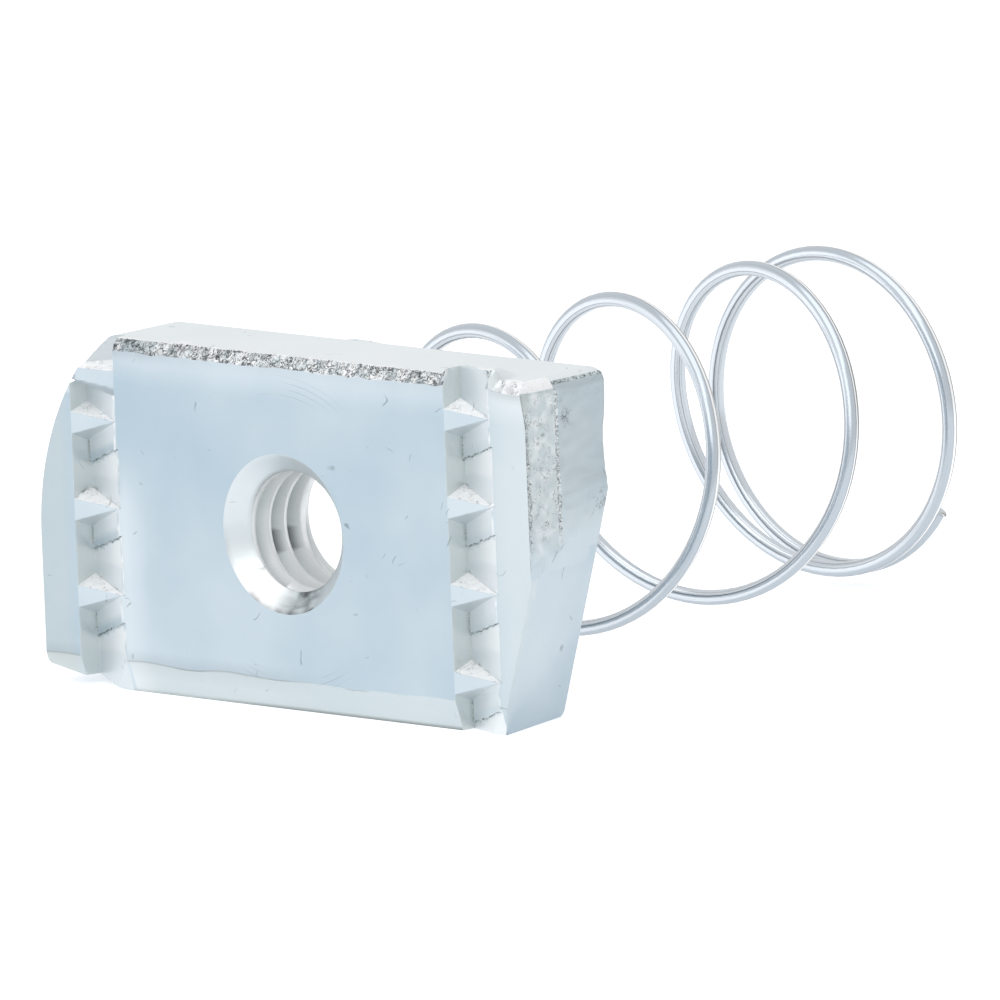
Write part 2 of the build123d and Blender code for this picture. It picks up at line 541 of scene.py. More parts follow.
@dataclass(frozen=True)
class PlatedWire:
    """Drawn steel wire with bright zinc, with painted reflections round the wire: pale bands, a
    painted highlight, a painted shade and fine dark reflection lines along it.
    """

    name: str = "plated_wire"
    # These colours are painted reflections, highlight and shade, laid round the wire by angle.
    inner_reflection_colour: Colour = (0.58, 0.62, 0.66)
    band_reflection_colour: Colour = (0.49, 0.54, 0.59)
    painted_highlight_colour: Colour = (0.92, 0.93, 0.94)
    front_reflection_colour: Colour = (0.74, 0.78, 0.83)
    painted_shade_colour: Colour = (0.55, 0.53, 0.51)
    painted_reflection_line_colour: Colour = (0.06, 0.065, 0.07)
    metallic: float = 0.85
    roughness: float = 0.2

    def build(self) -> bpy.types.Material:
        """Builds the material.

        Returns:
            The material.
        """
        tree = NodeTree(bpy.data.materials.new(self.name))
        drawn = tree.add("ShaderNodeAttribute", attribute_name="drawn").outputs["Vector"]
        parts = tree.add("ShaderNodeSeparateXYZ", {0: drawn}).outputs
        turn = tree.math("ARCTAN2", parts[1], parts[0])
        turn = tree.math("MULTIPLY_ADD", turn, 1.0 / math.tau, 0.5)
        sway = tree.math("MULTIPLY_ADD", tree.noise(drawn, 2.5, 1.0), 0.08, -0.04)
        turn = tree.math("ADD", turn, sway)
        # The ramp paints by the angle round the wire: the inner side, a pale front, a blue-grey
        # band, a painted highlight on the outside and a painted shade behind it.
        inner, band, bright = self.inner_reflection_colour, self.band_reflection_colour, self.painted_highlight_colour
        front = self.front_reflection_colour
        shade = tree.ramp(
            turn,
            [
                (0.17, inner),
                (0.22, front),
                (0.28, front),
                (0.33, band),
                (0.45, band),
                (0.50, bright),
                (0.56, bright),
                (0.62, self.painted_shade_colour),
                (0.74, inner),
            ],
        )
        # Painted dark reflection lines at fixed angles round the wire, faded in places by noise,
        # and faint streaks along it.
        dark, clear = WHITE, BLACK
        lines = tree.ramp(
            turn,
            [
                (0.085, clear),
                (0.105, dark),
                (0.125, clear),
                (0.180, clear),
                (0.200, dark),
                (0.215, clear),
                (0.450, clear),
                (0.470, dark),
                (0.490, clear),
                (0.525, clear),
                (0.550, dark),
                (0.600, dark),
                (0.640, clear),
            ],
        )
        share = tree.ramp(tree.noise(drawn, 3.2, 1.0), [(0.35, grey(0.35)), (0.60, grey(0.9))])
        lines = tree.math("MULTIPLY", lines, share)
        hairs = tree.ramp(tree.noise(drawn, 6.0, 2.0), [(0.60, clear), (0.70, grey(0.15))])
        shade = tree.mix(tree.math("MAXIMUM", lines, hairs), shade, self.painted_reflection_line_colour)
        bump = tree.add(
            "ShaderNodeBump",
            {"Strength": 0.3, "Distance": 0.00002, "Height": tree.noise(drawn, 9.0, 2.0)},
        )
        shader = tree.add(
            "ShaderNodeBsdfPrincipled",
            {
                "Base Color": shade,
                "Metallic": self.metallic,
                "Roughness": self.roughness,
                "Normal": bump.outputs["Normal"],
            },
        )
        tree.add("ShaderNodeOutputMaterial", {"Surface": shader.outputs["BSDF"]})
        return tree.owner


# ---------------------------------------------------------------------------------------------
# The nut
# ---------------------------------------------------------------------------------------------


@dataclass(frozen=True)
class Groove:
    """One row of teeth: its left edge, its shelves from the top down and its own shape."""

    left: float
    shelves: tuple[float, ...]
    width: float = 3.3 * MM
    reach: float = 1.3 * MM
    land: float = 1.2 * MM
    shelf_fall: float = 0.28 * MM
    step_drop: float = 1.5 * MM
    step_fall: float = 1.15

    def spans(self, place: Vector, spare: float = 0.3 * MM) -> bool:
        """Whether a place lies in the groove's width, or within a spare of it on its right."""
        return self.left - 0.02 * MM < place.x < self.left + self.width + spare

    def holds(self, place: Vector) -> bool:
        """Whether a place lies in the groove, under the toothed face."""
        return self.spans(place) and 0.03 * MM < place.y < self.reach + 0.1 * MM

    def across(self, place: Vector) -> float:
        """How far a place is across the groove, from 0 at its left edge to 1 at its right."""
        return (place.x - self.left) / self.width

    def past(self, place: Vector) -> float:
        """How far a place is beyond the groove's right edge, or short of it if negative."""
        return place.x - self.left - self.width

    def shelf_above(self, place: Vector) -> float:
        """How far a place is below the front edge of the nearest shelf above it.

        Args:
            place: The place, in metres.

        Returns:
            The distance, or a large one where no shelf is above.
        """
        fall = self.shelf_fall * self.across(place)
        drops = [shelf - fall - place.z for shelf in self.shelves]
        return min((drop for drop in drops if drop > -0.2 * MM), default=1.0)


class Zone(Enum):
    """The zones of the nut's surface, each with its frost, its cracks and its dullness; in some
    zones the frost is a painted highlight and the dullness painted shade.
    """

    PLAIN = (0.0, 0.0, 0.0)
    # Frosted and dull, and painted paler as the faces that look up.
    TOP = (0.52, 0.0, 0.4)
    # A painted highlight along the top's front edges, with cracks.
    RIM = (1.0, 0.42, 0.0)
    SHELF = (1.0, 0.44, 0.0)
    LAND = (0.22, 0.0, 0.0)
    # Frosted and dull, and painted paler as the walls that face left.
    WALL = (0.42, 0.0, 0.35)
    # Painted dark reflection and shade on the walls that face right.
    LEFT_WALL = (0.18, 0.0, 1.0)
    # A painted shade line along the small step, with cracks.
    STEP = (0.0, 0.9, 0.8)
    CREASE = (0.0, 0.75, 1.0)
    TORN_EDGE = (0.60, 1.0, 0.4)
    # Painted glints on the softened upright edges.
    FLECKED = (0.35, 0.0, 0.3)
    NOTCH = (0.40, 0.0, 0.4)
    PRESSED = (0.15, 0.08, 0.6)
    # Painted shade along the bottom edge.
    FOOT = (0.0, 0.0, 1.0)
    END_BAND = (0.10, 0.40, 0.7)
    END_SEAM = (0.3, 0.75, 0.6)
    # Cracked, with painted shade along the rear of the end's top edge.
    END_EDGE = (0.0, 0.9, 0.8)
    END = (0.0, 0.10, 0.35)
    CORNER = (0.0, 0.25, 1.0)
    BORE = (0.15, 0.0, 0.9)
    CONE = (0.25, 0.05, 0.5)


@dataclass
class NutBody:
    """The nut: the frame's solid with its thread cut, its edges softened and its tears."""

    node: str = "nut_body"
    left_groove: Groove = Groove(-15.425 * MM, (5.45 * MM, 0.65 * MM, -4.15 * MM))
    right_groove: Groove = Groove(12.125 * MM, (7.9 * MM, 3.1 * MM, -1.7 * MM, -6.5 * MM))
    notch_left: float = -17.0 * MM
    notch_shelf: float = 7.95 * MM
    thread_pitch: float = 1.25 * MM
    thread_minor_radius: float = 3.3234 * MM
    thread_major_radius: float = 4.0 * MM
    thread_flank: float = math.radians(30.0)
    tap_overlap: float = 0.12 * MM
    tap_fade: float = 0.7 * MM
    tap_steps: int = 72
    countersink_radius: float = 4.4 * MM
    seat_lip_height: float = 0.925 * MM
    edge_softness: float = 0.07 * MM
    torn_edge_height: float = 0.65 * MM
    torn_edge_depth: float = 0.45 * MM
    pressed_edge_height: float = 1.7 * MM
    hollow_back: float = 1.4 * MM
    groove_depth: float = 1.2 * MM
    burr_left: float = 11.2 * MM
    burr_right: float = 16.8 * MM
    burr_back: float = 3.4 * MM
    burr_height: float = 0.5 * MM
    end_band_depth: float = 2.6 * MM
    end_band_foot: float = -1.0 * MM
    waist_height: float = 5.6 * MM
    waist_spread: float = 1.8 * MM
    waist_depth: float = 0.25 * MM
    seam_spread: float = 0.13 * MM
    seam_depth: float = 0.06 * MM
    knocked_corner_depth: float = 0.28 * MM
    end_roughness: float = 0.10 * MM
    coarse_grid: float = 0.8 * MM
    groove_grid: float = 0.25 * MM
    fine_grid: float = 0.12 * MM

    def __post_init__(self) -> None:
        """Reads the nut's box from the frame."""
        self.low, self.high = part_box(self.node)

    def build(self) -> Piece:
        """Builds the nut.

        Returns:
            The finished piece.
        """
        nut = self.copy_solid()
        self.soften_edges(nut)
        self.cut_thread(nut)
        self.refine(nut)
        self.smooth_hollows(nut)
        self.mark_zones(nut)
        reshape(nut, self.wear_down)
        make_active(nut)
        bpy.ops.object.shade_smooth_by_angle(angle=math.radians(40.0))
        apply_modifier(nut, "WEIGHTED_NORMAL", weight=60, keep_sharp=True)
        return nut

    def copy_solid(self) -> Piece:
        """Copies the frame's solid and joins its loose triangles into whole faces.

        Returns:
            The copy.
        """
        source = bpy.data.objects[self.node]
        nut = bpy.data.objects.new("nut_with_thread", source.data.copy())
        bpy.context.scene.collection.objects.link(nut)
        nut.data.materials.clear()
        make_active(nut)
        bpy.ops.object.mode_set(mode="EDIT")
        bpy.ops.mesh.select_all(action="SELECT")
        bpy.ops.mesh.remove_doubles(threshold=2e-6)
        bpy.ops.mesh.dissolve_limited(angle_limit=math.radians(0.5))
        bpy.ops.object.mode_set(mode="OBJECT")
        return nut

    def soften_edges(self, nut: Piece) -> None:
        """Rounds the sharp edges a little, as pressing and plating leave them.

        Args:
            nut: The nut.
        """
        apply_modifier(
            nut,
            "BEVEL",
            width=self.edge_softness,
            segments=2,
            limit_method="ANGLE",
            angle_limit=math.radians(28.0),
            use_clamp_overlap=True,
        )

    def cut_thread(self, nut: Piece) -> None:
        """Cuts the right-hand thread with a helical tap.

        Args:
            nut: The nut.
        """
        tap = self.build_tap()
        apply_modifier(nut, "BOOLEAN", operation="DIFFERENCE", object=tap, solver="EXACT")
        bpy.data.objects.remove(tap)

    def build_tap(self) -> Piece:
        """Builds the tap's ridge: a trapezoid swept along the helix, with closed ends.

        Returns:
            The tap.
        """
        inner = self.thread_minor_radius - self.tap_overlap
        slope = math.tan(self.thread_flank)
        outer_half = self.thread_pitch / 16.0
        inner_half = outer_half + (self.thread_major_radius - inner) * slope
        start = self.low.y - self.thread_pitch
        turns = math.ceil((self.high.y - self.low.y) / self.thread_pitch) + 2
        deselect_all()
        bpy.ops.mesh.primitive_plane_add(size=1.0)
        tap = bpy.context.object
        corners = {
            (-1, -1): (inner, start - inner_half),
            (-1, 1): (inner, start + inner_half),
            (1, -1): (self.thread_major_radius, start - outer_half),
            (1, 1): (self.thread_major_radius, start + outer_half),
        }
        for vertex in tap.data.vertices:
            side = (1 if vertex.co.x > 0 else -1, 1 if vertex.co.y > 0 else -1)
            vertex.co = (*corners[side], 0.0)
        bpy.ops.object.mode_set(mode="EDIT")
        bpy.ops.mesh.select_all(action="SELECT")
        bpy.ops.mesh.delete(type="ONLY_FACE")
        bpy.ops.object.mode_set(mode="OBJECT")
        apply_modifier(
            tap,
            "SCREW",
            axis="Y",
            angle=math.tau,
            screw_offset=self.thread_pitch,
            iterations=turns,
            steps=self.tap_steps,
            render_steps=self.tap_steps,
            use_smooth_shade=False,
        )
        front_cone = self.countersink_radius - self.thread_minor_radius
        first, last = self.low.y + front_cone, self.high.y - self.seat_lip_height - 0.8 * front_cone
        for vertex in tap.data.vertices:
            place = vertex.co
            depth = smooth_step(first - 0.1 * MM, first + self.tap_fade, place.y)
            depth *= 1.0 - smooth_step(last - self.tap_fade, last + 0.1 * MM, place.y)
            radius = math.hypot(place.x, place.z)
            share = (inner + (radius - inner) * (0.1 + 0.9 * depth)) / radius
            place.x, place.z = place.x * share, place.z * share
        make_active(tap)
        bpy.ops.object.mode_set(mode="EDIT")
        bpy.ops.mesh.select_all(action="SELECT")
        bpy.ops.mesh.fill_holes(sides=4)
        bpy.ops.mesh.select_all(action="SELECT")
        bpy.ops.mesh.normals_make_consistent(inside=False)
        bpy.ops.object.mode_set(mode="OBJECT")
        return tap

    # -- Where a face is ----------------------------------------------------------------------

    def groove_of(self, place: Vector) -> Groove | None:
        """The groove that a place lies in, or none."""
        for groove in (self.left_groove, self.right_groove):
            if groove.holds(place):
                return groove
        return None

    def in_bore(self, place: Vector, normal: Vector) -> bool:
        """Whether a face belongs to the thread or to one of its two cones."""
        return math.hypot(place.x, place.z) < self.countersink_radius + 0.2 * MM and (
            abs(normal.y) < 0.98
        )

    def in_hollow(self, place: Vector, normal: Vector) -> bool:
        """Whether a face belongs to a groove or to the notch at the round corner.

        Args:
            place: A place on the nut, in metres.
            normal: Not used.

        Returns:
            True if it does.
        """
        if not 0.03 * MM < place.y < self.left_groove.reach + 0.1 * MM:
            return False
        if self.notch_left < place.x < self.left_groove.left and place.z > self.notch_shelf - MM:
            return True
        return self.groove_of(place) is not None

    def on_shelf(self, place: Vector, normal: Vector) -> bool:
        """Whether a face is the top of a tooth."""
        return normal.z > 0.8 and place.z < self.high.z - MM and self.in_hollow(place, normal)

    def up_tear(self, place: Vector) -> float:
        """How far a place is up the torn edge, from 0 at its foot to 1 at its top."""
        return (place.z - self.high.z + self.torn_edge_height) / self.torn_edge_height

    def on_torn_edge(self, place: Vector, normal: Vector) -> bool:
        """Whether a face is on the flat that is torn along the top of the toothed face.

        Args:
            place: A place on the nut, in metres.
            normal: The way that the surface faces there.

        Returns:
            True if it is.
        """
        share = self.up_tear(place)
        return (
            0.05 < share < 1.02
            and normal.z > 0.3
            and abs(place.y - share * self.torn_edge_depth) < 0.06 * MM
        )

    def on_end(self, place: Vector, normal: Vector) -> bool:
        """Whether a face is on the nut's right end."""
        return normal.x > 0.9 and place.x > self.high.x - 0.05 * MM

    def on_face(self, place: Vector, normal: Vector) -> bool:
        """Whether a face is on the toothed face."""
        return normal.y < -0.98 and place.y < 0.02 * MM

    def step_below(self, groove: Groove, place: Vector) -> float:
        """How far a place in a groove is below its small step, or above it if negative."""
        drop = groove.shelf_above(place)
        return drop - groove.step_drop - groove.step_fall * place.y

    # -- Shaping ------------------------------------------------------------------------------

    def refine(self, nut: Piece) -> None:
        """Cuts the faces into small ones, finest where the metal is torn.

        Args:
            nut: The nut.
        """
        low, high = self.low, self.high
        side, deep, up = Vector((1, 0, 0)), Vector((0, 1, 0)), Vector((0, 0, 1))

        def plain(place: Vector, normal: Vector) -> bool:
            """Whether a face is outside the hole."""
            return not self.in_bore(place, normal)

        for axis, start, stop in (
            (side, low.x, high.x),
            (deep, low.y, high.y - 0.9 * MM),
            (up, low.z, high.z),
        ):
            slice_evenly(nut, axis, start, stop, self.coarse_grid, plain)
        for groove in (self.left_groove, self.right_groove):
            first, last = groove.left, groove.left + groove.width
            slice_evenly(nut, side, first - groove.width, last, groove.width, self.on_face)
            slice_evenly(nut, side, first, last + groove.width, groove.width, self.on_face)
        for axis, start, stop in (
            (side, low.x, high.x),
            (deep, low.y, self.hollow_back),
            (up, low.z, high.z),
        ):
            slice_evenly(nut, axis, start, stop, self.groove_grid, self.in_hollow)
        for axis, start, stop in ((side, low.x, high.x), (deep, low.y, self.hollow_back)):
            slice_evenly(nut, axis, start, stop, self.fine_grid, self.on_shelf)
        tear = high.z - self.torn_edge_height
        for axis, start, stop in ((side, low.x, high.x), (up, tear, high.z)):
            slice_evenly(nut, axis, start, stop, self.fine_grid, self.on_torn_edge)
        for axis, start, stop in ((up, low.z, high.z), (deep, low.y, 3.2 * MM)):
            slice_evenly(nut, axis, start, stop, 1.3 * self.fine_grid, self.on_end)

        def on_front(place: Vector, normal: Vector) -> bool:
            """Whether a face looks forwards, on the toothed face or just behind it."""
            return normal.y < -0.9 and place.y < 0.6 * MM

        crease = low.z + self.pressed_edge_height
        slice_evenly(nut, up, crease - 0.18 * MM, crease + 0.18 * MM, self.fine_grid, on_front)
        slice_evenly(nut, up, tear - 1.2 * MM, tear, 0.2 * MM, self.on_face)
        slice_evenly(nut, up, low.z, low.z + 0.36 * MM, self.fine_grid, on_front)

        def on_cone(place: Vector, normal: Vector) -> bool:
            """Whether a face is on the front cone."""
            return self.in_cone(place) and abs(normal.y) < 0.9

        slice_evenly(nut, deep, low.y, low.y + 1.1 * MM, 2.0 * self.fine_grid, on_cone)

        def near_burr(place: Vector, normal: Vector) -> bool:
            """Whether a face is on the top, round the right groove's end.

            Args:
                place: A place on the nut, in metres.
                normal: The way that the surface faces there.

            Returns:
                True if it is.
            """
            return (
                normal.z > 0.9
                and place.z > high.z - 0.05 * MM
                and self.burr_left < place.x < self.burr_right
                and place.y < self.burr_back
            )

        burr_spans = ((side, self.burr_left, self.burr_right), (deep, low.y, self.burr_back))
        for axis, start, stop in burr_spans:
            slice_evenly(nut, axis, start, stop, self.groove_grid, near_burr)

    def smooth_hollows(self, nut: Piece) -> None:
        """Rounds the inside of the hollows, where each ceiling runs into the right wall.

        Args:
            nut: The nut.
        """
        group = nut.vertex_groups.new(name="hollow_ceilings")
        for vertex in nut.data.vertices:
            weight = self.ceiling_share(vertex.co)
            if weight > 0.0:
                group.add([vertex.index], weight, "REPLACE")
        apply_modifier(nut, "SMOOTH", factor=0.5, iterations=14, vertex_group=group.name)
        nut.vertex_groups.clear()

    def ceiling_share(self, place: Vector) -> float:
        """How much a place is on a ceiling's blend into the right wall, from 0 to 1.

        Args:
            place: A place on the nut, in metres.

        Returns:
            The share.
        """
        if self.notch_left < place.x < self.left_groove.left + 3.1 * MM and (
            self.notch_shelf + 0.25 * MM < place.z < self.high.z - 0.2 * MM
            and 0.1 * MM < place.y
        ):
            return smooth_step(0.1 * MM, 0.3 * MM, place.y)
        groove = self.groove_of(place)
        if groove is None:
            return 0.0
        below = groove.shelf_above(place)
        if not 0.0 < below < 2.4 * MM:
            return 0.0
        across = groove.across(place)
        depth = smooth_step(0.10 * MM, 0.35 * MM, place.y)
        fade = 1.0 - smooth_step(1.9 * MM, 2.4 * MM, below)
        return depth * smooth_step(0.12, 0.25, across) * fade

    def wear_down(self, place: Vector, normal: Vector) -> Vector:
        """All that pressing, shearing and tearing do to the nut's surface.

        Args:
            place: A vertex of the nut.
            normal: Its normal.

        Returns:
            How far it moves.
        """
        move = self.end_wear(place) + self.relief(place, normal) + self.burr_front(place)
        move.z += self.burr_rise(place) + self.line_waver(place)
        if self.notch_left < place.x < -12.6 * MM and place.z > self.notch_shelf + 0.02 * MM:
            share = smooth_step(-16.5 * MM, -12.6 * MM, place.x)
            move.y -= (1.0 - share) * 0.8 * max(0.0, place.y) * (place.y < 1.25 * MM)
        return move

    def burr_front(self, place: Vector) -> Vector:
        """How far the burr fills the torn edge in front of the right groove's right wall.

        Args:
            place: A place on the nut, in metres.

        Returns:
            How far the place moves.
        """
        groove = self.right_groove
        share = self.up_tear(place)
        across = place.x - groove.left
        if share < 0.0 or place.y > 1.25 * MM or not 0.4 * MM < across < groove.width + 0.6 * MM:
            return Vector()
        torn = min(1.0, share) * self.torn_edge_depth
        slope = (groove.width - 0.15 * MM) / self.groove_depth
        wall = groove.width - slope * torn
        if abs(across - groove.width + slope * place.y) < 0.12 * MM:
            deep = self.groove_depth * (place.y - torn) / (self.groove_depth - torn)
            return Vector((slope * (place.y - deep), deep - place.y, 0.0))
        if across > wall and place.y < 0.6 * MM:
            free = (across - wall) / (groove.width + 0.6 * MM - wall)
            return Vector(((1.0 - free) * (groove.width - wall), (free - 1.0) * place.y, 0.0))
        return Vector()

    def line_waver(self, place: Vector) -> float:
        """How far the lines along the toothed face's long edges stray up or down.

        Args:
            place: A place on the nut, in metres.

        Returns:
            The distance, in metres.
        """
        along = place.x / MM
        if place.y < 0.02 * MM:
            if abs(place.z - self.low.z - self.pressed_edge_height) < 0.12 * MM:
                return 0.16 * MM * noise.noise(Vector((along / 3.0, 3.1, 0.0)))
            if abs(place.z - self.high.z + self.torn_edge_height) < 0.12 * MM:
                return 0.12 * MM * noise.noise(Vector((along / 0.5, 7.7, 0.0)))
        groove = self.groove_of(place)
        if groove and abs(self.step_below(groove, place)) < 0.12 * MM:
            return 0.12 * MM * noise.noise(Vector((along / 0.35, place.z / (2.0 * MM), 5.0)))
        return 0.0

    def burr_rise(self, place: Vector) -> float:
        """How far the metal is pushed up around the right groove's top end.

        Args:
            place: A place on the nut, in metres.

        Returns:
            The rise, in metres.
        """
        across = self.right_groove.across(place)
        shoulder = min(1.0, max(0.0, (across + 0.10) / 0.50))
        arch = math.sqrt(max(0.0, 1.0 - (1.0 - shoulder) ** 2))
        arch *= 1.0 - smooth_step(0.97, 1.12, across)
        back = 1.0 - smooth_step(1.0 * MM, 2.6 * MM, place.y)
        low = smooth_step(self.high.z - 1.2 * MM, self.high.z, place.z)
        return self.burr_height * arch * back * low

    def end_wear(self, place: Vector) -> Vector:
        """How far the right end is drawn in and where its front corner is knocked off.

        Args:
            place: A place on the nut, in metres.

        Returns:
            How far the place moves.
        """
        move = Vector()
        near_end = smooth_step(self.high.x - 1.2 * MM, self.high.x, place.x)
        if near_end > 0.0:
            waist = math.exp(-(((place.z - self.waist_height) / self.waist_spread) ** 2))
            back = smooth_step(1.5 * MM, 5.5 * MM, place.y)
            move.x -= self.waist_depth * waist * near_end * back
            seam = math.exp(-(((place.y - self.end_band_depth) / self.seam_spread) ** 2))
            if place.x > self.high.x - 0.03 * MM and place.z > self.end_band_foot:
                move.x -= self.seam_depth * seam
            corner = smooth_step(7.2 * MM, 9.2 * MM, place.z)
            front = 1.0 - smooth_step(0.0, 0.5 * MM, place.y)
            edge = smooth_step(self.high.x - 0.5 * MM, self.high.x, place.x)
            move.x -= self.knocked_corner_depth * corner * front * edge
            rough = noise.noise(Vector((0.0, place.y, place.z)) / (0.9 * MM))
            move.x -= self.end_roughness * near_end * abs(rough) * (1.0 - front)
        return move

    def relief(self, place: Vector, normal: Vector) -> Vector:
        """The roughness of the torn metal.

        Args:
            place: A vertex of the nut.
            normal: Its normal.

        Returns:
            How far it moves.
        """
        fine = noise.fractal(place / (0.25 * MM), 0.7, 2.2, 3)
        broad = noise.noise(place / (1.1 * MM))
        if self.on_torn_edge(place, normal):
            return normal * (0.07 * MM * fine + 0.05 * MM * broad)
        if self.on_shelf(place, normal):
            return normal * (0.05 * MM * fine + 0.04 * MM * broad)
        if self.on_end(place, normal):
            band = 1.0 - smooth_step(self.end_band_depth - 0.2 * MM, self.end_band_depth, place.y)
            band *= smooth_step(self.end_band_foot - MM, self.end_band_foot + MM, place.z)
            amount = 0.008 * MM + 0.05 * MM * band
            return Vector((-abs(amount * fine), 0.0, 0.0))
        return Vector()

    def mark_zones(self, nut: Piece) -> None:
        """Writes frost, cracks, dullness and darkness where the finish reads them; frost also
        carries painted highlights, and dullness and darkness painted shade and dark reflections.

        Args:
            nut: The nut.
        """
        mesh = nut.data
        mesh.attributes.new("wear", "FLOAT_VECTOR", "CORNER")
        mesh.attributes.new("darkness", "FLOAT", "CORNER")
        wear, darkness = mesh.attributes["wear"], mesh.attributes["darkness"]
        for face in mesh.polygons:
            zone = self.zone_of(face.center, face.normal)
            for corner in face.loop_indices:
                place = mesh.vertices[mesh.loops[corner].vertex_index].co
                *shares, dark = self.tone(zone, place)
                wear.data[corner].vector = shares
                darkness.data[corner].value = dark

    def zone_of(self, place: Vector, normal: Vector) -> Zone:
        """The zone that a face belongs to.

        Args:
            place: A place on the nut, in metres.
            normal: The way that the surface faces there.

        Returns:
            The zone.
        """
        if self.on_torn_edge(place, normal):
            # The burr's torn faces take the painted shade of the walls that face right.
            on_burr = -0.5 * MM < self.right_groove.past(place) < 0.4 * MM
            return Zone.LEFT_WALL if on_burr else Zone.TORN_EDGE
        # Softened upright edges get painted glints.
        if self.flecked(place, normal):
            return Zone.FLECKED
        if self.on_shelf(place, normal):
            return Zone.SHELF
        groove = self.groove_of(place)
        if self.in_notch(place) and 0.03 * MM < place.y < self.hollow_back:
            return Zone.NOTCH
        if groove and place.z < self.high.z - 0.05 * MM:
            return self.groove_zone(groove, place, normal)
        if self.in_bore(place, normal):
            return Zone.CONE if self.in_cone(place) else Zone.BORE
        if self.on_face(place, normal):
            for row in (self.left_groove, self.right_groove):
                if row.spans(place, 0.0) and row.shelf_above(place) < row.land:
                    return Zone.LAND
            below_notch = self.notch_left < place.x < self.left_groove.left + 3.2 * MM
            if below_notch and 6.1 * MM < place.z < self.notch_shelf:
                return Zone.LAND
            return Zone.PLAIN
        if normal.x > 0.3 and place.x > self.high.x - 0.95 * MM and place.z > self.end_band_foot:
            return self.end_zone(place, normal)
        # A painted highlight along the top's front edge; the rest of the top is painted paler as it
        # looks up.
        if place.z > self.high.z - 0.08 * MM:
            return Zone.RIM if place.y < 0.52 * MM else Zone.TOP
        # Faces that look up at the upper right are painted paler, as the top.
        if normal.z > 0.3 and place.z > 7.0 * MM and place.x > 0.0:
            return Zone.TOP
        # Painted shade along the bottom edge.
        if place.z < self.low.z + 0.12 * MM and place.y < 1.0 * MM and normal.z < -0.25:
            return Zone.FOOT
        if normal.y < -0.9 and place.z < self.low.z + self.pressed_edge_height:
            return Zone.PRESSED if place.x < 15.5 * MM else Zone.PLAIN
        return Zone.PLAIN

    def in_notch(self, place: Vector) -> bool:
        """Whether a place is in the notch at the round corner, seen from the front."""
        return (
            self.notch_left < place.x < self.left_groove.left + 3.2 * MM
            and self.notch_shelf + 0.05 * MM < place.z < self.high.z - 0.05 * MM
        )

    def in_cone(self, place: Vector) -> bool:
        """Whether a place in the hole is on the cone at its front."""
        radius = math.hypot(place.x, place.z)
        return abs(radius + place.y - self.low.y - self.countersink_radius) < 0.07 * MM

    def flecked(self, place: Vector, normal: Vector) -> bool:
        """Whether a face is on a softened upright edge of a groove or of the notch.

        Args:
            place: A place on the nut, in metres.
            normal: The way that the surface faces there.

        Returns:
            True if it is.
        """
        if place.y > 0.1 * MM or not 0.2 < abs(normal.y) < 0.97 or abs(normal.x) < 0.25:
            return False
        spare = 0.08 * MM
        if self.left_groove.spans(place, spare) or self.right_groove.spans(place, spare):
            return True
        return place.z > self.notch_shelf - MM and place.x < self.left_groove.left + 3.5 * MM

    def groove_zone(self, groove: Groove, place: Vector, normal: Vector) -> Zone:
        """The zone of a face in a groove.

        Args:
            groove: The groove.
            place: A place on the nut, in metres.
            normal: The way that the surface faces there.

        Returns:
            The zone.
        """
        past_step = self.step_below(groove, place)
        across = groove.across(place)
        if across > 1.01 or (across > 0.5 and normal.x > 0.5):
            return Zone.PLAIN
        # Walls that face right get painted dark reflection and shade.
        if normal.x > 0.85:
            return Zone.LEFT_WALL
        # A painted shade line along the small step.
        if -0.8 < normal.z < -0.45 and normal.y < -0.55 and abs(past_step) < 0.3 * MM:
            return Zone.STEP
        if place.x - groove.left < 0.3 * MM and normal.z > -0.4:
            return Zone.CREASE if -1.7 * MM < past_step < 0.0 else Zone.LEFT_WALL
        # The other walls are painted paler as they face left.
        return Zone.WALL

    def end_zone(self, place: Vector, normal: Vector) -> Zone:
        """The zone of a face on the right end or on its rounded edges.

        Args:
            place: A place on the nut, in metres.
            normal: The way that the surface faces there.

        Returns:
            The zone.
        """
        if place.y < self.end_band_depth:
            # The front of the top edge gets the painted highlight.
            if normal.z > 0.35:
                return Zone.RIM
        elif normal.z > 0.75:
            return Zone.TOP
        # The rear of the top edge gets painted shade.
        elif normal.z > 0.5:
            return Zone.END_EDGE
        elif normal.z > 0.2:
            return Zone.END
        if place.y < 0.55 * MM and place.z > 7.4 * MM + 3.5 * place.y:
            return Zone.CORNER
        if place.y < self.end_band_depth - 0.1 * MM:
            return Zone.END_BAND
        return Zone.END_SEAM if place.y < self.end_band_depth + 0.1 * MM else Zone.END

    def tone(self, zone: Zone, place: Vector) -> Shares:
        """How frosted, cracked, dull and dark a zone is at one place.

        Args:
            zone: The zone.
            place: The place on the nut.

        Returns:
            The four shares, from 0 to 1.
        """
        tones = {
            Zone.PLAIN: self.plain_tone,
            Zone.PRESSED: self.plain_tone,
            Zone.FOOT: self.plain_tone,
            Zone.WALL: self.wall_tone,
            Zone.TOP: self.top_tone,
            Zone.TORN_EDGE: self.torn_tone,
            Zone.FLECKED: self.glinting_edge_tone,
            Zone.CONE: self.cone_tone,
            Zone.BORE: self.bore_tone,
            Zone.NOTCH: self.notch_tone,
            Zone.CORNER: self.corner_tone,
        }
        if zone.name.startswith("END"):
            shares = self.end_tone(zone, place)
        else:
            shares = tones[zone](place) if zone in tones else (0.0, 0.0, 0.0, 0.0)
        base = (*zone.value, 0.0)
        return tuple(min(1.0, max(0.0, own + more)) for own, more in zip(base, shares))

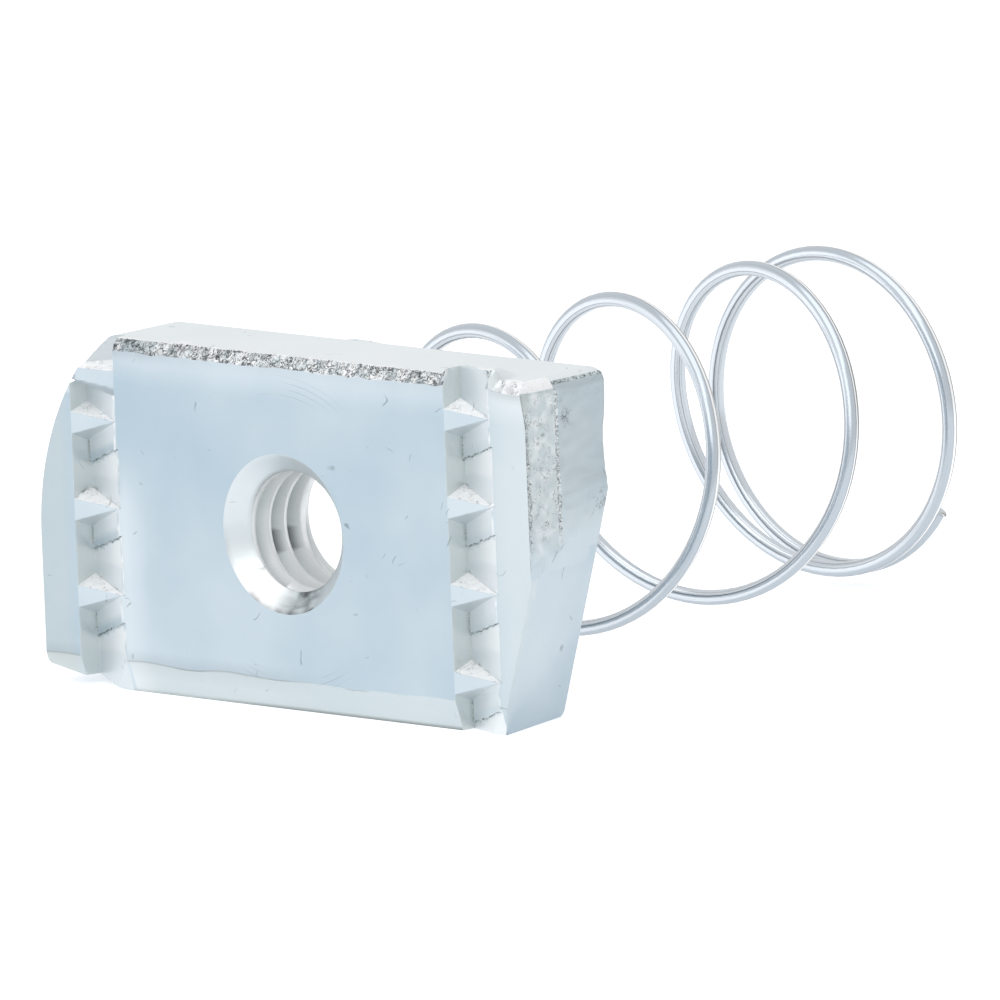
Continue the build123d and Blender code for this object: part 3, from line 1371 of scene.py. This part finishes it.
    def plain_tone(self, place: Vector) -> Shares:
        """What the toothed face's own flat adds to its zone's shares, with painted shade under the
        torn edge, along the crease and along the bottom edge.

        Args:
            place: A place on the nut, in metres.

        Returns:
            What is added to the four shares.
        """
        frost = dull = dark = 0.0
        along = place.x / MM
        low_end = smooth_step(15.4, 15.8, along) * (1.0 - smooth_step(-2.0 * MM, 0.0, place.z))
        if place.y > 0.62 * MM:
            return 0.15 * low_end, 0.0, dull, dark
        below_tear = self.high.z - self.torn_edge_height - place.z
        # Painted shade in patches just below the torn edge, darker at both ends, and the face paler
        # just below it.
        if -0.01 * MM < below_tear:
            fringe = math.exp(-((below_tear / (0.35 * MM)) ** 2))
            patchy = 0.5 + 0.5 * noise.noise(Vector((along / 1.5, 4.0, 0.0)))
            edges = 1.0 - smooth_step(-11.0, -6.0, along) + smooth_step(15.0, 15.6, along)
            dark += 0.45 * fringe * patchy * (0.25 + 0.75 * edges)
            frost += 0.20 * (1.0 - smooth_step(0.3 * MM, 2.0 * MM, below_tear))
        # A painted shade line along the crease at the top of the pressed edge, gone towards the
        # right.
        crease = place.z - self.low.z - self.pressed_edge_height
        line = math.exp(-((crease / (0.06 * MM)) ** 2))
        dark += 0.45 * line * (1.0 - smooth_step(-3.0, 4.0, along) * smooth_step(-12.0, 4.0, along))
        # Painted shade along the bottom edge, darker to the right.
        foot = 1.0 - smooth_step(0.04 * MM, 0.2 * MM, place.z - self.low.z)
        dark += foot * (0.25 + 0.45 * smooth_step(-8.0, 0.0, along))
        left_side = 1.0 - smooth_step(-16.2, -15.4, along)
        dull += 0.5 * left_side
        dark += 0.05 * left_side
        frost += 0.18 * smooth_step(14.0, 17.0, along)
        dull += 0.35 * smooth_step(15.3, 15.6, along)
        beside = 1.0 - smooth_step(-11.8, -9.6, along)
        beside *= smooth_step(-12.3, -12.1, along) * (1.0 - smooth_step(0.0, 4.0 * MM, place.z))
        frost += 0.3 * beside
        return frost, 0.0, dull, dark

    def wall_tone(self, place: Vector) -> Shares:
        """What a groove's right wall adds: a spur below its step painted paler, as lit like the
        face, and painted shade above the step.

        Args:
            place: A place on the nut, in metres.

        Returns:
            What is added to the four shares.
        """
        groove = self.groove_of(place) or self.right_groove
        past_step = self.step_below(groove, place)
        across = groove.across(place)
        spur = smooth_step(0.0, 0.1 * MM, past_step)
        spur *= 1.0 - smooth_step(0.5 * MM, 0.8 * MM, past_step - 0.9 * MM * across)
        # Painted shade just above the step, weaker in the right groove.
        edge = smooth_step(-0.7 * MM, -0.1 * MM, past_step)
        edge *= 1.0 - smooth_step(0.0, 0.1 * MM, past_step)
        edge *= 1.0 if groove is self.left_groove else 0.35
        rough = 0.5 + 0.5 * noise.noise(place / (0.35 * MM))
        return 0.20 * spur - 0.40 * edge, 0.0, -0.3 * edge, 0.16 * edge * rough

    def top_tone(self, place: Vector) -> Shares:
        """What the top adds: a ragged painted highlight along the torn edge, and a painted shadow
        behind the burr.

        Args:
            place: A place on the nut, in metres.

        Returns:
            What is added to the four shares.
        """
        # A ragged painted highlight along the top's front edge.
        ragged = 0.45 * MM * noise.noise(Vector((place.x / (0.9 * MM), 2.0, 0.0)))
        frost = 0.5 * (1.0 - smooth_step(0.5 * MM, 0.75 * MM, place.y + ragged))
        beyond = self.right_groove.past(place)
        shadow = math.exp(-(((beyond - 0.5 * MM) / (0.4 * MM)) ** 2))
        shadow *= 1.0 - smooth_step(0.6 * MM, 2.2 * MM, place.y)
        return frost, 0.0, 0.0, 0.16 * shadow

    def torn_tone(self, place: Vector) -> Shares:
        """What the torn edge adds: painted highlights on lumps, painted shade in hollows, less
        cracking at its right and a darker left end.

        Args:
            place: A place on the nut, in metres.

        Returns:
            What is added to the four shares.
        """
        # The lumps paint highlights and the dark noise paints shade in hollows.
        lumps = noise.noise(place / (0.5 * MM))
        right = smooth_step(15.0 * MM, 15.6 * MM, place.x)
        left = 1.0 - smooth_step(-12.0 * MM, -7.0 * MM, place.x)
        dark = max(0.0, -0.5 * noise.noise(place / (0.6 * MM) + Vector((7.0, 0.0, 0.0))))
        return 0.8 * lumps + 0.4 * right - 0.3 * left, -0.5 * right, 0.0, dark + 0.25 * left

    def notch_tone(self, place: Vector) -> Shares:
        """What the notch adds: a shade that deepens to the left."""
        return 0.0, 0.0, 0.0, 0.20 + 0.05 * (1.0 - smooth_step(-16.5 * MM, -13.0 * MM, place.x))

    def corner_tone(self, place: Vector) -> Shares:
        """What the knocked corner adds: a shade that deepens upwards."""
        return 0.0, 0.0, 0.0, 0.25 * smooth_step(7.5 * MM, 9.5 * MM, place.z)

    def glinting_edge_tone(self, place: Vector) -> Shares:
        """What a softened upright edge adds: painted glints, brighter along the notch's edge."""
        notch_edge = 1.0 if place.z > self.notch_shelf and place.x < 0.0 else 0.0
        return 1.1 * noise.noise(place / (0.45 * MM)) + 0.5 * notch_edge, 0.0, 0.0, 0.0

    def cone_tone(self, place: Vector) -> Shares:
        """What the cone adds: a painted glare at its lower left, a paler patch at its upper left, a
        dark mottled blotch at its foot, and darker along its lower left rim and at its upper left
        inner edge.

        Angles are round the thread's axis, from +X towards +Z.

        Args:
            place: A place on the nut, in metres.

        Returns:
            What is added to the four shares.
        """
        around = math.atan2(place.z, place.x)
        lumps = noise.noise(place / (0.35 * MM))
        # Painted glare at the lower left.
        frost = 0.7 * math.exp(-(((around + 2.2) / 0.5) ** 2))
        frost += 0.2 * math.exp(-(((around - 2.6) / 0.6) ** 2))
        blotch = math.exp(-(((around + 1.35) / 0.28) ** 2))
        rim = 1.0 - smooth_step(0.0, 0.12 * MM, place.y - self.low.y)
        rim *= math.exp(-(((around + 2.0) / 0.9) ** 2))
        dark = 0.95 * blotch * max(0.0, 0.5 + 1.4 * lumps) + 0.8 * rim * (0.6 + lumps)
        inner = smooth_step(0.85 * MM, 1.05 * MM, place.y - self.low.y)
        dark += 0.55 * inner * math.exp(-(((around - 2.3) / 0.55) ** 2))
        return frost - 0.2 * blotch, 0.5 * blotch, 0.3 * blotch, dark

    def bore_tone(self, place: Vector) -> Shares:
        """What the thread adds: painted highlights on its crests, a painted white glare low down, a
        paler strip at its upper left, painted dark reflections in patches at its lower left, and
        painted shade on its left side.

        Angles are round the thread's axis, from +X towards +Z.

        Args:
            place: A place on the nut, in metres.

        Returns:
            What is added to the four shares.
        """
        around = math.atan2(place.z, place.x)
        radius = math.hypot(place.x, place.z)
        crest = 1.0 - smooth_step(0.02 * MM, 0.15 * MM, radius - self.thread_minor_radius)
        # Painted highlights on the crests and a painted glare low down.
        frost = 0.6 * crest + 0.7 * math.exp(-(((around + 1.9) / 0.6) ** 2))
        frost += 0.3 * math.exp(-(((around - 2.2) / 0.3) ** 2))
        # Painted dark reflections in patches, and painted shade on the left side.
        deep = 2.3 * MM < place.y < 4.9 * MM and crest < 0.5
        patch = math.exp(-(((around + 2.84) / 0.18) ** 8)) if deep else 0.0
        upper = math.exp(-(((abs(around) - 2.9) / 0.5) ** 2))
        dark = 1.1 * patch + 0.16 * upper * (1.0 - crest)
        return frost, 0.0, 0.0, dark

    def end_tone(self, zone: Zone, place: Vector) -> Shares:
        """What the right end adds: its cracks gather in patches and fade out towards its foot; its
        band gets painted highlights on its bumps, the rest painted shade that deepens upwards, its
        seam dark lumps and the rear of its top edge painted shade.

        Args:
            zone: The face's zone.
            place: A place on the nut, in metres.

        Returns:
            What is added to the four shares.
        """
        frost, cracks, dull = zone.value
        fade = smooth_step(self.end_band_foot, self.end_band_foot + 3.0 * MM, place.z)
        lumps = noise.noise(place / (0.6 * MM))
        dark = 0.06
        if zone is Zone.END_BAND:
            cracks += 0.25 * lumps + 0.10 * (1.0 - smooth_step(4.0 * MM, 6.5 * MM, place.z))
            cracks += 0.35 * (1.0 - smooth_step(0.1 * MM, 0.5 * MM, place.y))
            # Painted highlights on the band's bumps.
            frost += 0.6 * lumps
        elif zone is Zone.END:
            for deep, up, size in ((3.2, 7.6, 0.8), (6.1, 2.4, 1.2), (5.9, 8.9, 0.6)):
                reach = math.hypot(place.y / MM - deep, place.z / MM - up) / size
                cracks += 0.5 * math.exp(-reach * reach) * (1.0 + lumps)
            frost += 0.2 * (1.0 - smooth_step(-1.0 * MM, 4.0 * MM, place.z))
            # Painted shade that deepens upwards.
            dark = 0.20 * smooth_step(-1.0 * MM, 6.0 * MM, place.z) * (1.0 + 0.5 * lumps)
        else:
            # Dark lumps along the seam, and painted shade along the rear of the top edge.
            dark = 0.25 * max(0.0, lumps)
        lift = 0.12 * (1.0 - fade)
        shares = (frost * fade + lift, cracks * fade, dull * fade, dark * fade)
        return tuple(share - own for share, own in zip(shares, (*zone.value, 0.0)))


# ---------------------------------------------------------------------------------------------
# The spring
# ---------------------------------------------------------------------------------------------


@dataclass
class CoilSpring:
    """The spring: one left-wound wire, flat in its seat, open along its length, closed at last."""

    node: str = "spring"
    wire_diameter: float = 0.85 * MM
    seat_coil_radius: float = 8.6 * MM
    coil_flare: float = 0.2 * MM
    turns: float = 5.35
    tip_angle: float = math.radians(-162.0)
    seated_turns: float = 0.70
    bend_turns: float = 0.20
    closing_turns: float = 0.40
    closed_turns: float = 1.00
    closed_coil_gap: float = 0.05 * MM
    points_per_turn: int = 72

    def pitch_stages(self) -> list[Stage]:
        """The coil's stages from its seat, each with its turns and its first and last pitch.

        Returns:
            The stages, from the seat to the tip.
        """
        low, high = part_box(self.node)
        closed_pitch = self.wire_diameter + self.closed_coil_gap
        open_turns = (
            self.turns
            - self.seated_turns
            - self.bend_turns
            - self.closing_turns
            - self.closed_turns
        )
        climb = high.y - low.y - self.wire_diameter
        closed_climb = closed_pitch * (self.closed_turns + self.closing_turns / 2)
        open_pitch = (climb - closed_climb) / (
            open_turns + (self.bend_turns + self.closing_turns) / 2
        )
        return [
            (self.seated_turns, 0.0, 0.0),
            (self.bend_turns, 0.0, open_pitch),
            (open_turns, open_pitch, open_pitch),
            (self.closing_turns, open_pitch, closed_pitch),
            (self.closed_turns, closed_pitch, closed_pitch),
        ]

    def climb(self, stages: list[Stage], turns: float) -> float:
        """How far the wire has climbed from its seat.

        Args:
            stages: The coil's stages.
            turns: Turns from the seated tip.

        Returns:
            The distance along Y, in metres.
        """
        total = 0.0
        for length, first, last in stages:
            done = min(turns, length)
            total += done * (first + (last - first) * done / length / 2)
            turns -= done
        return total

    def build(self) -> Piece:
        """Builds the spring.

        Returns:
            The finished piece.
        """
        stages = self.pitch_stages()
        whole = self.climb(stages, self.turns)
        seat_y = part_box(self.node)[0].y + self.wire_diameter / 2
        count = round(self.turns * self.points_per_turn)
        line = bpy.data.curves.new("spring_line", "CURVE")
        line.dimensions = "3D"
        line.bevel_depth = self.wire_diameter / 2
        line.bevel_resolution = 6
        line.use_fill_caps = True
        line.twist_mode = "MINIMUM"
        path = line.splines.new("POLY")
        path.points.add(count)
        for index, point in enumerate(path.points):
            turns = self.turns * index / count
            climbed = self.climb(stages, turns)
            radius = self.seat_coil_radius + self.coil_flare * climbed / whole
            angle = self.tip_angle + math.tau * turns
            point.co = (radius * math.cos(angle), seat_y + climbed, radius * math.sin(angle), 1.0)
        spring = bpy.data.objects.new("spring_wire", line)
        bpy.context.scene.collection.objects.link(spring)
        make_active(spring)
        bpy.ops.object.convert(target="MESH")
        spring = bpy.context.object
        apply_modifier(
            spring,
            "BEVEL",
            width=0.06 * MM,
            segments=2,
            limit_method="ANGLE",
            angle_limit=math.radians(60.0),
        )
        self.mark_around_and_along(spring, stages, seat_y)
        make_active(spring)
        bpy.ops.object.shade_smooth_by_angle(angle=math.radians(45.0))
        return spring

    def mark_around_and_along(
        self, spring: Piece, stages: list[Stage], seat_y: float
    ) -> None:
        """Writes where each vertex is around and along the wire, which the finish reads to lay its
        painted reflection bands and its streaks.

        Args:
            spring: The spring's mesh.
            stages: The coil's stages.
            seat_y: Where the wire's middle is in its seat.
        """
        mesh = spring.data
        layer = mesh.attributes.new("drawn", "FLOAT_VECTOR", "POINT")
        whole = self.climb(stages, self.turns)
        for vertex in mesh.vertices:
            place = vertex.co
            part = ((math.atan2(place.z, place.x) - self.tip_angle) / math.tau) % 1.0
            turns, rise = min(
                (
                    (part + lap, place.y - seat_y - self.climb(stages, part + lap))
                    for lap in range(-1, math.ceil(self.turns) + 1)
                ),
                key=lambda found: abs(found[1]),
            )
            radius = self.seat_coil_radius + self.coil_flare * (place.y - seat_y) / whole
            out = math.hypot(place.x, place.z) - radius
            size = max(math.hypot(out, rise), 0.01 * self.wire_diameter)
            layer.data[vertex.index].vector = (out / size, rise / size, 0.6 * turns)


# ---------------------------------------------------------------------------------------------
# The studio
# ---------------------------------------------------------------------------------------------


class Lamp(Enum):
    """The studio's soft lamps: where each stands from the nut, its width, power and colour."""

    TOP = ((0.05, -0.10, 0.40), 0.45, 0.50, (1.0, 0.99, 0.98))
    FRONT = ((0.16, -0.42, 0.28), 0.35, 0.34, (0.97, 0.99, 1.0))
    LEFT = ((-0.34, -0.34, 0.12), 0.35, 0.12, (0.93, 0.97, 1.0))


@dataclass
class Studio:
    """A plain white studio: floor, world, soft lamps and the camera."""

    camera_azimuth: float = math.radians(42.886)
    camera_height: float = math.radians(9.773)
    camera_roll: float = math.radians(-2.367)
    camera_distance: float = 1450.0 * MM
    view_width: float = 54.13 * MM
    aim_right: float = 11.733 * MM
    aim_up: float = 1.867 * MM
    sensor_width: float = 36.0
    far_limit: float = 20.0
    floor_half: float = 4.0
    floor_colour: Colour = (0.85, 0.85, 0.85)
    floor_glow: float = 0.55
    sky_colour: Colour = (0.94, 0.97, 1.0)
    sky_strength: float = 0.65

    def build(self) -> None:
        """Builds the floor, the world, the lamps and the camera."""
        self.build_floor()
        self.build_world()
        for lamp in Lamp:
            self.build_lamp(lamp)
        self.build_camera()

    def build_camera(self) -> None:
        """Adds the camera, to the right of the toothed face and a little above it."""
        azimuth, height, roll = self.camera_azimuth, self.camera_height, self.camera_roll
        back = Vector(
            (
                math.sin(azimuth) * math.cos(height),
                -math.cos(azimuth) * math.cos(height),
                math.sin(height),
            )
        )
        level = Vector((math.cos(azimuth), math.sin(azimuth), 0.0))
        upright = back.cross(level)
        right = math.cos(roll) * level + math.sin(roll) * upright
        up = math.cos(roll) * upright - math.sin(roll) * level
        place = back * self.camera_distance
        target = right * self.aim_right + up * self.aim_up
        axis_back = (place - target).normalized()
        axis_right = up.cross(axis_back).normalized()
        axis_up = axis_back.cross(axis_right)
        camera = bpy.data.cameras.new("camera")
        camera.sensor_width = self.sensor_width
        camera.lens = self.sensor_width * self.camera_distance / self.view_width
        camera.clip_end = self.far_limit
        holder = bpy.data.objects.new("camera", camera)
        holder.matrix_world = Matrix(
            (
                (axis_right.x, axis_up.x, axis_back.x, place.x),
                (axis_right.y, axis_up.y, axis_back.y, place.y),
                (axis_right.z, axis_up.z, axis_back.z, place.z),
                (0.0, 0.0, 0.0, 1.0),
            )
        )
        bpy.context.scene.collection.objects.link(holder)
        bpy.context.scene.camera = holder

    def build_lamp(self, lamp: Lamp) -> None:
        """Adds one soft lamp that faces the nut.

        Args:
            lamp: Which lamp.
        """
        place, width, power, colour = lamp.value
        light = bpy.data.lights.new(f"lamp_{lamp.name.lower()}", "AREA")
        light.shape = "DISK"
        light.size = width
        light.energy = power
        light.color = colour
        holder = bpy.data.objects.new(light.name, light)
        holder.location = place
        holder.rotation_euler = Vector(place).to_track_quat("Z", "Y").to_euler()
        bpy.context.scene.collection.objects.link(holder)

    def build_world(self) -> None:
        """Makes the world white to the eye and in reflections, and paler as a light."""
        world = bpy.data.worlds.new("studio_world")
        bpy.context.scene.world = world
        tree = NodeTree(world)
        light = tree.add(
            "ShaderNodeBackground",
            {"Color": (*self.sky_colour, 1.0), "Strength": self.sky_strength},
        )
        white = tree.add("ShaderNodeBackground", {"Color": (*WHITE, 1.0), "Strength": 1.0})
        mix = tree.add(
            "ShaderNodeMixShader", {0: tree.seen(), 1: light.outputs[0], 2: white.outputs[0]}
        )
        tree.add("ShaderNodeOutputWorld", {"Surface": mix.outputs[0]})

    def build_floor(self) -> None:
        """Adds the white floor that the nut stands on, which keeps the nut's soft shadow."""
        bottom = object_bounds()[0][2]
        deselect_all()
        bpy.ops.mesh.primitive_plane_add(size=2.0 * self.floor_half, location=(0.0, 0.0, bottom))
        floor = bpy.context.object
        floor.name = "studio_floor"
        tree = NodeTree(bpy.data.materials.new("studio_floor"))
        paint = tree.add("ShaderNodeBsdfDiffuse", {"Color": (*self.floor_colour, 1.0)})
        glow = tree.add("ShaderNodeEmission", {"Color": (*WHITE, 1.0), "Strength": self.floor_glow})
        lit = tree.add("ShaderNodeAddShader", {0: paint.outputs[0], 1: glow.outputs[0]})
        mix = tree.add(
            "ShaderNodeMixShader", {0: tree.seen(), 1: paint.outputs[0], 2: lit.outputs[0]}
        )
        tree.add("ShaderNodeOutputMaterial", {"Surface": mix.outputs[0]})
        floor.data.materials.append(tree.owner)
        floor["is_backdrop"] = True


# ---------------------------------------------------------------------------------------------


def dress(piece: Piece, node: str, finish: bpy.types.Material) -> None:
    """Gives a piece its finish and puts it in the place of a frame node.

    Args:
        piece: The finished piece.
        node: The node that it stands for.
        finish: Its material.
    """
    piece.data.materials.clear()
    piece.data.materials.append(finish)
    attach(piece, ROOT_BODY)
    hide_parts(node)
    log.info("%s: %d faces, in place of %s", piece.name, len(piece.data.polygons), node)


def main() -> None:
    """Builds the nut, the spring and the studio in the frame."""
    logging.basicConfig(level=logging.INFO, format="%(name)s: %(message)s")
    bpy.context.scene.view_settings.view_transform = "Standard"
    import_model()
    deselect_all()
    dress(NutBody().build(), NutBody.node, ZincPlate().build())
    dress(CoilSpring().build(), CoilSpring.node, PlatedWire().build())
    Studio().build()


if __name__ == "__main__":
    main()
